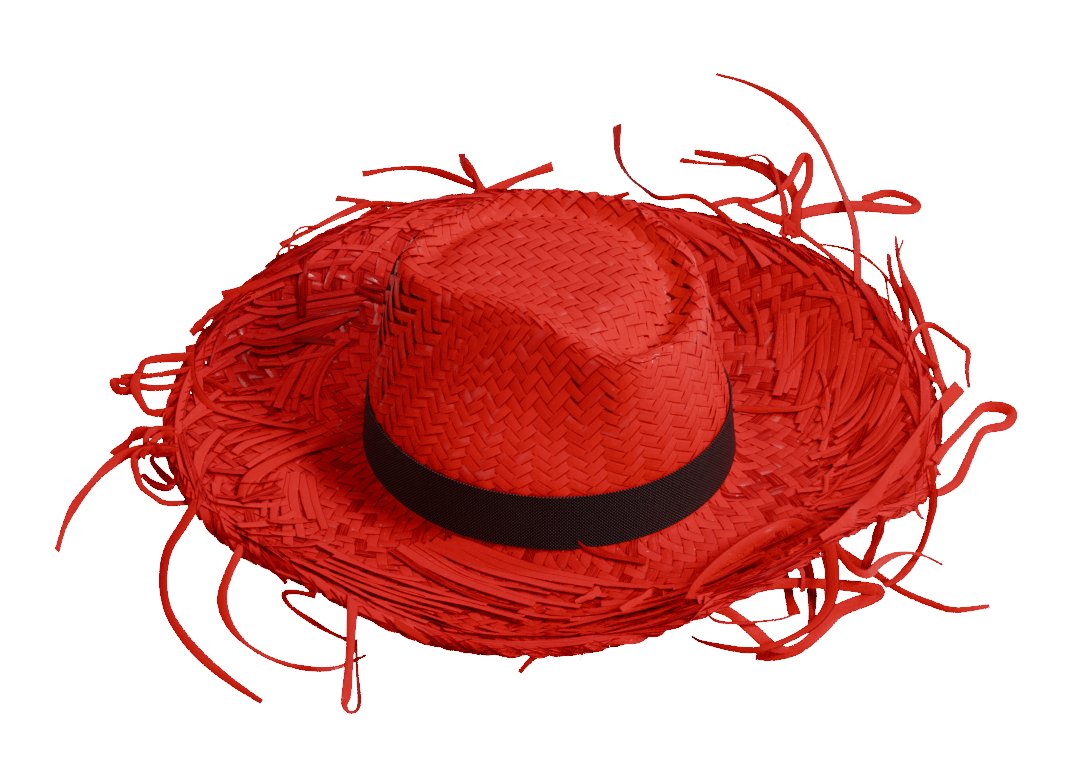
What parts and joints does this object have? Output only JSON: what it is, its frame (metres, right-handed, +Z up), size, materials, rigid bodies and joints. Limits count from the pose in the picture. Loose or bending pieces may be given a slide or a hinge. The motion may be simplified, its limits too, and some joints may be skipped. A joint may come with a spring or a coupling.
{
  "type": "frayed straw hat",
  "caption": "Wide-brimmed hat of plaited palm strips with a creased crown, a plain ribbon band and a frayed brim edge.",
  "frame": {"origin": "on the surface the hat rests on, under the middle of its box, loose ends included", "axes": "+Z up out of the crown, -Y the way the wearer looks, +X to the wearer's left"},
  "size_m": [0.5676, 0.4504, 0.1132],
  "materials": {
    "straw": "dyed palm leaf, lightly varnished, satin with glossy edges",
    "loose_straw": "dyed palm leaf, satin",
    "ribbon": "fine woven ribbon with a dull sheen"
  },
  "bodies": {
    "root": {"plaited_crown": "straw", "plaited_brim": "straw", "hat_band": "ribbon", "splice_fringe": "loose_straw", "frayed_hem": "loose_straw"}
  },
  "joints": []
}
